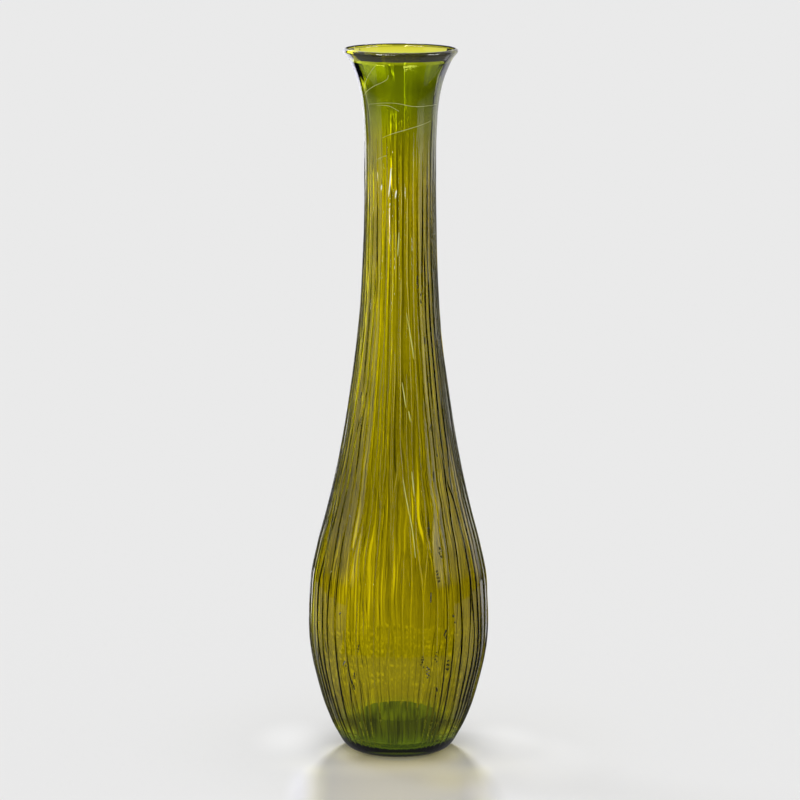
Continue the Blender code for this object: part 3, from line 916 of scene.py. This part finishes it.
def raised_glass(name, colour, light):
    """Dense glass of the threads, dashes, bold ribs and flecks, which shows its own colour, with a little
    light of its own as a painted highlight (none on the flecks).
    """
    material, nodes = finish(name)
    glass = nodes.node(
        "ShaderNodeBsdfPrincipled", Base_Color=colour, Roughness=RAISED_ROUGHNESS, IOR=GLASS_IOR,
        Emission_Color=colour, Emission_Strength=light,
    )
    nodes.node("ShaderNodeOutputMaterial", Surface=glass.outputs[0])
    return material


def lay(name, mesh, colour, light):
    """One piece of threads, dashes, bold ribs or flecks, which rides with the vase."""
    mesh.materials.append(raised_glass(name, colour, light))
    piece = in_scene(name, mesh)
    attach(piece, "root")


def floor_finish():
    """The floor's pale paint, with painted pools and rims of light that stand in for the light the glass
    gathers on it.
    """
    material, nodes = finish("pale_floor")
    place = nodes.place()
    axes = nodes.axes(place)
    surface = nodes.node("ShaderNodeBsdfDiffuse", Color=BACKDROP_COLOUR).outputs[0]
    # Painted light: pools of glow added to the floor's paint
    for middle, reach, colour in PAINTED_FLOOR_LIGHT:
        shares = nodes.vector("DIVIDE", nodes.vector("SUBTRACT", place, middle), reach)
        away = nodes.vector("LENGTH", shares)
        surface = nodes.lit(surface, colour, nodes.smooth_share(away, 1.0, 0.0))
    # Painted light: a glowing rim along both sides of the shadow
    outward = nodes.math("ABSOLUTE", nodes.math("SUBTRACT", nodes.math("ABSOLUTE", axes["X"]), RIM_OUT))
    across = nodes.smooth_share(outward, RIM_HALF_WIDTH, 0.0)
    along = nodes.smooth_share(axes["Y"], RIM_START, RIM_WHOLE)
    along = nodes.math("MULTIPLY", along, nodes.smooth_share(axes["Y"], RIM_END, RIM_FADE))
    side = nodes.span(axes["X"], (-RIM_TURN, RIM_TURN), (1.0, RIM_RIGHT_SHARE))
    amount = nodes.math("MULTIPLY", nodes.math("MULTIPLY", across, along), side)
    nodes.node("ShaderNodeOutputMaterial", Surface=nodes.lit(surface, PAINTED_RIM_LIGHT_COLOUR, amount))
    return material


def pale_floor():
    """A broad, plain, pale floor."""
    mesh = bpy.data.meshes.new("floor")
    corners = [(x * FLOOR_REACH, y * FLOOR_REACH, 0) for x, y in ((-1, -1), (1, -1), (1, 1), (-1, 1))]
    mesh.from_pydata(corners, [], [(0, 1, 2, 3)])
    mesh.materials.append(floor_finish())
    floor = in_scene("floor", mesh)
    floor.location.z = -FLOOR_DROP


def glow(name, colour, foot, fade=0):
    """A plain bright finish for the studio's cloths and panels, and for the cards that paint light and shade
    into the vase, which may fade in from the lower edge.

    The painted light of the cards over the mound is broken up in upright streaks.
    """
    material, nodes = finish(name)
    strength = 1.0
    if fade:
        strength = nodes.span(nodes.axes(nodes.place())["Z"], (foot, foot + fade))
    if name in STREAKED_CARDS:
        shrink = (1.0, 1.0 / MOUND_STREAK_DEPTH, 1.0 / MOUND_STREAK_STRETCH)
        noise = nodes.noise(nodes.vector("MULTIPLY", nodes.place(), shrink), MOUND_STREAK_SIZE, 2.0)
        strength = nodes.span(noise, MOUND_STREAK_STOPS, MOUND_STREAK_SHARES)
    light = nodes.node("ShaderNodeEmission", Color=(*colour, 1), Strength=strength)
    nodes.node("ShaderNodeOutputMaterial", Surface=light.outputs[0])
    return material


def panel(material, middle, width, profile, seen_in, taper=(1, 1)):
    """A curved panel round the vase, along a profile of (radius, height) points.

    Its middle and width are angles, counted from the camera's side towards the right, and the taper says
    how much of its height each end keeps. Only the glass sees it: as a reflection (glossy) or through
    its walls (transmission).
    """
    sides = max(2, math.ceil(width / PANEL_STEP))
    points, faces = [], []
    top_radius, top = profile[-1]
    for radius, height in profile:
        for k in range(sides + 1):
            turn = middle + width * (k / sides - 0.5)
            kept = mix(*taper, ease(k / sides))
            r = mix(top_radius, radius, kept)
            points.append((r * math.sin(turn), -r * math.cos(turn), mix(top, height, kept)))
    for row in range(len(profile) - 1):
        for k in range(sides):
            a, b = row * (sides + 1) + k, (row + 1) * (sides + 1) + k
            faces.append((a, a + 1, b + 1, b))
    mesh = bpy.data.meshes.new(material.name)
    mesh.from_pydata(points, [], faces)
    mesh.materials.append(material)
    piece = in_scene(material.name, mesh)
    piece.visible_camera = False
    piece.visible_diffuse = False
    piece.visible_shadow = False
    piece.visible_glossy = "glossy" in seen_in
    piece.visible_transmission = "transmission" in seen_in


def streaks_and_tone(nodes, place, axes):
    """The surround's streaks, which calm down in places, and its tone by height and side."""
    drawn_out = nodes.vector("MULTIPLY", place, (1.0, 1.0, 1.0 / STREAK_STRETCH))
    noise = nodes.noise(drawn_out, STREAK_SIZE, 2.0)
    streaks = nodes.colours(noise, [(at, (grey,) * 3) for at, grey in STREAK_STOPS])
    share = nodes.math("DIVIDE", axes["Z"], SURROUND_TOP, clamp=True)
    calm = nodes.colours(share, [(at / SURROUND_TOP, (grey,) * 3) for at, grey in CALM_STOPS])
    by_height = nodes.colours(share, [(at / SURROUND_TOP, tones) for at, *tones in TONE_STOPS])
    left, middle, right = nodes.node("ShaderNodeSeparateColor", Color=by_height).outputs[:3]
    high = nodes.smooth_share(axes["Z"], HIGH_FROM, HIGH_TO)
    far_share = nodes.math("MULTIPLY_ADD", high, HIGH_WIDE_SHARE - WIDE_SHARE, WIDE_SHARE)
    wide = nodes.span(axes["X"], (-WIDE_TO, -WIDE_FROM), (far_share, NEAR_SHARE))
    tone = nodes.span(axes["X"], (-TONE_FAR, -TONE_NEAR), (nodes.math("MULTIPLY", left, wide), middle))
    tone = nodes.span(axes["X"], (TONE_NEAR / 2, TONE_FAR), (tone, right))
    uneven = nodes.math("MULTIPLY", streaks, nodes.math("SUBTRACT", 1.0, calm))
    return nodes.math("MULTIPLY_ADD", calm, CALM_TONE, uneven), tone


def broken_line(nodes, place, axes):
    """A bright upright line that sways and breaks up, behind the neck."""
    upright = nodes.node("ShaderNodeCombineXYZ", Z=axes["Z"]).outputs[0]
    sway = nodes.math("SUBTRACT", nodes.noise(upright, LINE_SWAY_SIZE, 2.0), 0.5)
    centre = nodes.math("MULTIPLY_ADD", sway, LINE_SWAY, LINE_PLACE)
    away = nodes.math("ABSOLUTE", nodes.math("SUBTRACT", axes["X"], centre))
    line = nodes.span(away, (LINE_HALF_WIDTH, LINE_HALF_WIDTH / 2), (0.0, LINE_TONE))
    longer = nodes.vector("MULTIPLY", place, (1.0, 1.0, 1.0 / LINE_BREAK_STRETCH))
    breaks = nodes.span(nodes.noise(longer, LINE_BREAK_SIZE, 1.0), LINE_BREAK_STOPS, (LINE_BREAK_TONE, 1.0))
    line = nodes.math("MULTIPLY", line, breaks)
    foot = nodes.smooth_share(axes["Z"], LINE_FROM - LINE_END, LINE_FROM + LINE_END)
    top = nodes.smooth_share(axes["Z"], LINE_TO, LINE_TO - 2 * LINE_END)
    return nodes.math("MULTIPLY", nodes.math("MULTIPLY", line, foot), top)


def surround():
    """An upright ring round the vase, seen through the glass alone: pale, with uneven streaks."""
    material, nodes = finish("surround")
    place = nodes.place()
    axes = nodes.axes(place)
    streaks, tone = streaks_and_tone(nodes, place, axes)
    amount = nodes.math("MULTIPLY_ADD", streaks, tone, broken_line(nodes, place, axes))
    # Painted shade: the ring's flat part is darker close to the vase's foot
    reach = nodes.vector("LENGTH", nodes.vector("MULTIPLY", place, (1.0, 1.0, 0.0)))
    shade = nodes.span(reach, (FOOT_SHADE_FROM, FOOT_SHADE_TO), (FOOT_SHADE, 1.0))
    amount = nodes.math("MULTIPLY", amount, shade)
    light = nodes.node("ShaderNodeEmission", Color=(1, 1, 1, 1), Strength=amount)
    nodes.node("ShaderNodeOutputMaterial", Surface=light.outputs[0])
    foot = (SURROUND_RADIUS, SURROUND_LIFT)
    profile = ((SURROUND_FOOT, SURROUND_LIFT), foot, (SURROUND_RADIUS, SURROUND_TOP))
    panel(material, 0, 2 * math.pi, profile, THROUGH)


def studio():
    """Everything round the vase that its glass mirrors or bends into view."""
    surround()
    # Painted shade: dark cards just inside the flare, seen through its wall
    heights = np.linspace(*CORNER_HEIGHTS, CORNER_ROWS + 1)
    corner = tuple(zip(crest_radius(heights) - wall(heights) - CORNER_GAP, heights))
    for side, name, taper in ((-1, "painted_shade_left_corner", (1, 0)), (1, "painted_shade_right_corner", (0, 1))):
        cloth = glow(name, PAINTED_CORNER_SHADE_COLOUR, corner[0][1])
        panel(cloth, side * CORNER_TURN, CORNER_WIDTH, corner, THROUGH, taper)
    for name, colour, middle, width, profile, seen_in, *fade in PANELS:
        cloth = glow(name, colour, profile[0][1], *fade)
        panel(cloth, math.radians(middle), math.radians(width), profile, seen_in)


def world():
    """An even pale surround, in the floor's own tone wherever it is seen."""
    sky = bpy.data.worlds.new("studio")
    bpy.context.scene.world = sky
    sky.use_nodes = True
    sky.node_tree.nodes.clear()
    nodes = Tree(sky.node_tree)
    path = nodes.node("ShaderNodeLightPath").outputs
    seen = nodes.math("ADD", path["Is Camera Ray"], path["Is Glossy Ray"])
    seen = nodes.math("ADD", seen, path["Is Transmission Ray"], clamp=True)
    light = nodes.node("ShaderNodeBackground", Color=(1, 1, 1, 1), Strength=AMBIENT)
    sight = nodes.node("ShaderNodeBackground", Color=BACKDROP_COLOUR, Strength=1.0)
    nodes.node("ShaderNodeOutputWorld", Surface=nodes.blend(seen, light.outputs[0], sight.outputs[0]))


def far_lamp(name, strength, angle, elevation, side):
    """A lamp far away, as a direction, which the glass doesn't show as a disc."""
    light = bpy.data.lights.new(name, "SUN")
    light.energy = strength
    light.angle = angle
    lamp = in_scene(name, light)
    lamp.rotation_euler = (elevation - math.pi / 2, 0, side)
    lamp.visible_glossy = False
    lamp.visible_transmission = False


def lights():
    """The back light that throws the vase's shadow forward, a weaker side light and a soft one overhead."""
    far_lamp("back_light", BACK_SUN_STRENGTH, BACK_SUN_ANGLE, BACK_SUN_ELEVATION, BACK_SUN_SIDE)
    far_lamp("side_light", SIDE_SUN_STRENGTH, SIDE_SUN_ANGLE, SIDE_SUN_ELEVATION, SIDE_SUN_SIDE)
    far_lamp("overhead_light", OVERHEAD_SHARE * math.pi, OVERHEAD_ANGLE, math.pi / 2, 0)


def camera():
    """The photograph's camera: a long lens, a little above the mouth."""
    lens = bpy.data.cameras.new("camera")
    lens.lens = CAMERA_LENS
    lens.sensor_width = SENSOR_WIDTH
    view = in_scene("camera", lens)
    view.location = (CAMERA_SIDE, -CAMERA_DISTANCE, CAMERA_HEIGHT)
    view.rotation_euler = (math.pi / 2 - CAMERA_DROP, CAMERA_ROLL, 0)
    bpy.context.scene.camera = view


def main():
    """Builds the vase and the studio round it."""
    camera()
    glass = olive_glass()
    vase = grown(
        "blown_vase", wall_mesh(), rib_tree(glass),
        Rib_height=RIB_HEIGHT, Rib_half_width=RIB_HALF_WIDTH, Inside_ripple=INSIDE_RIPPLE,
        Outside_ripple=OUTSIDE_RIPPLE, Ripple_size=RIPPLE_SIZE, Ripple_stretch=RIPPLE_STRETCH,
        Seed=RIPPLE_SEED,
    )
    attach(vase, "root")
    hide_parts("ribbed_vase")
    lay("glass_threads", thread_mesh("glass_threads", THREADS, THREAD_RADIUS), THREAD_COLOUR, THREAD_HIGHLIGHT_GLOW)
    lay("painted_glint_dashes", thread_mesh("painted_glint_dashes", GLINT_DASHES, DASH_RADIUS), GLINT_DASH_COLOUR, GLINT_DASH_GLOW)
    bold_ribs_painted_highlight = thread_mesh("bold_ribs_painted_highlight", BOLD_RIBS, BOLD_RIB_RADIUS, BOLD_RIB_RAISED_SHARE)
    lay("bold_ribs_painted_highlight", bold_ribs_painted_highlight, BOLD_RIB_HIGHLIGHT_COLOUR, BOLD_RIB_HIGHLIGHT_GLOW)
    lay("glass_flecks", fleck_mesh("glass_flecks"), FLECK_COLOUR, 0)
    pale_floor()
    studio()
    world()
    lights()
    scene = bpy.context.scene
    scene.view_settings.view_transform = "Standard"
    scene.cycles.max_bounces = LIGHT_BOUNCES
    scene.cycles.transmission_bounces = LIGHT_BOUNCES
    scene.cycles.transparent_max_bounces = LIGHT_BOUNCES
    scene.cycles.glossy_bounces = GLOSSY_BOUNCES


main()
